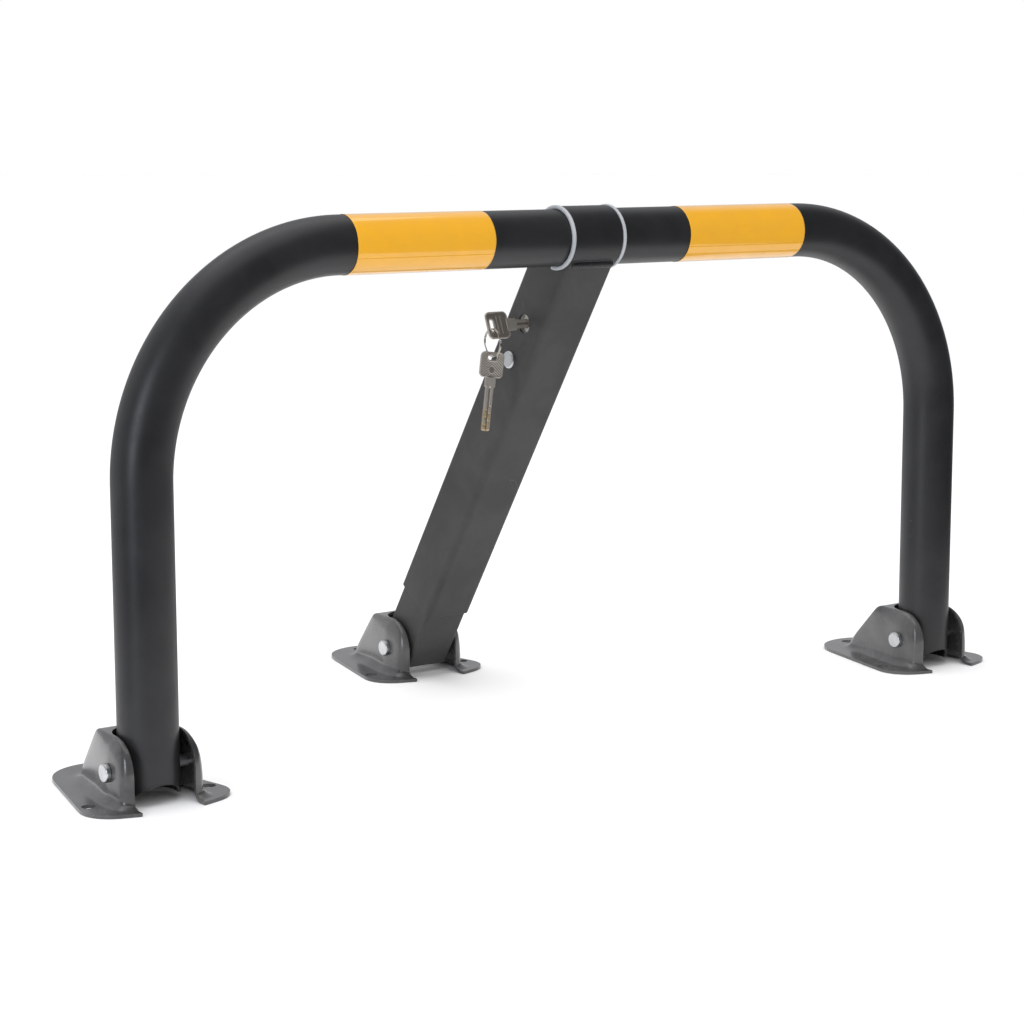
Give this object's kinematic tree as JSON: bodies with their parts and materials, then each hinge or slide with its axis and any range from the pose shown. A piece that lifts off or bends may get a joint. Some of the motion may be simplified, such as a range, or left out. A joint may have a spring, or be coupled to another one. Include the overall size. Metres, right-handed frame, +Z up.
{
  "type": "folding parking lock",
  "caption": "Folding parking barrier: a bent-tube hoop on pressed feet, held up by a telescoping prop with a key lock, with yellow reflective bands.",
  "frame": {"origin": "centre of the footprint on the ground, half way between the hoop feet's front tips and the prop foot's back edge", "axes": "+X along the hoop's bar, +Y from the hoop towards the prop's foot, +Z up; the hoop folds down towards -Y"},
  "size_m": [1.022, 0.4454, 0.4792],
  "materials": {
    "black_powder_coat": "satin black powder coat",
    "prop_paint": "matt charcoal powder coat",
    "foot_paint": "semi-gloss charcoal paint, scuffed",
    "yellow_tape": "glossy yellow reflective tape",
    "ring_grey": "light grey passivated steel",
    "zinc": "bright zinc plate",
    "nickel": "worn nickel plate over brass",
    "brass_pins": "turned brass",
    "spring_steel": "spring wire"
  },
  "bodies": {
    "feet": {"foot_left": "foot_paint", "foot_right": "foot_paint", "foot_prop": "foot_paint", "pivot_pin_left": "zinc", "pivot_pin_right": "zinc", "pivot_pin_prop": "zinc", "pin_washer_left": "zinc", "pin_washer_right": "zinc", "pin_washer_prop": "zinc"},
    "hoop": {"hoop_tube": "black_powder_coat", "tape_left": "yellow_tape", "tape_right": "yellow_tape", "retaining_ring_left": "ring_grey", "retaining_ring_right": "ring_grey"},
    "prop_upper": {"collar_sleeve": "black_powder_coat", "collar_weld": "prop_paint", "prop_outer_tube": "prop_paint", "lock_case": "zinc", "case_rivet": "zinc", "lock_cylinder": "nickel", "driver_pins": "brass_pins", "pin_springs": "spring_steel"},
    "prop_lower": {"prop_inner_channel": "prop_paint"},
    "key_and_plug": {"lock_plug": "nickel", "key_pins": "brass_pins", "lock_cam": "zinc", "cam_screw": "zinc", "key_inserted": "nickel"},
    "ring": {"key_ring": "nickel"},
    "spare_key": {"key_spare": "nickel"}
  },
  "joints": [
    {"name": "hoop_fold", "type": "hinge", "parent": "feet", "child": "hoop", "pos_m": [0, -0.18025, 0.0287], "axis": [1, 0, 0], "range_deg": [0, 89.5]},
    {"name": "prop_swing", "type": "hinge", "parent": "feet", "child": "prop_lower", "pos_m": [0, 0.09475, 0.0287], "axis": [1, 0, 0], "range_deg": [0, 56.57]},
    {"name": "collar_turn", "type": "hinge", "parent": "hoop", "child": "prop_upper", "pos_m": [0, -0.18025, 0.45], "axis": [1, 0, 0], "range_deg": [-32.95, 0]},
    {"name": "key_turn", "type": "hinge", "parent": "prop_upper", "child": "key_and_plug", "pos_m": [0, -0.12778, 0.36961], "axis": [1, 0, 0], "range_deg": [0, 90]},
    {"name": "ring_swing", "type": "hinge", "parent": "key_and_plug", "child": "ring", "pos_m": [-0.062, -0.12905, 0.36646], "axis": [1, 0, 0], "range_deg": [-20, 12]},
    {"name": "spare_key_swing", "type": "hinge", "parent": "ring", "child": "spare_key", "pos_m": [-0.062, -0.12905, 0.34166], "axis": [0, 1, 0], "range_deg": [-16, 40]}
  ],
  "couplings": [
    {"joint": "prop_swing", "follows": "hoop_fold", "ratio": 0.63199},
    {"joint": "collar_turn", "follows": "hoop_fold", "ratio": -0.36801}
  ]
}
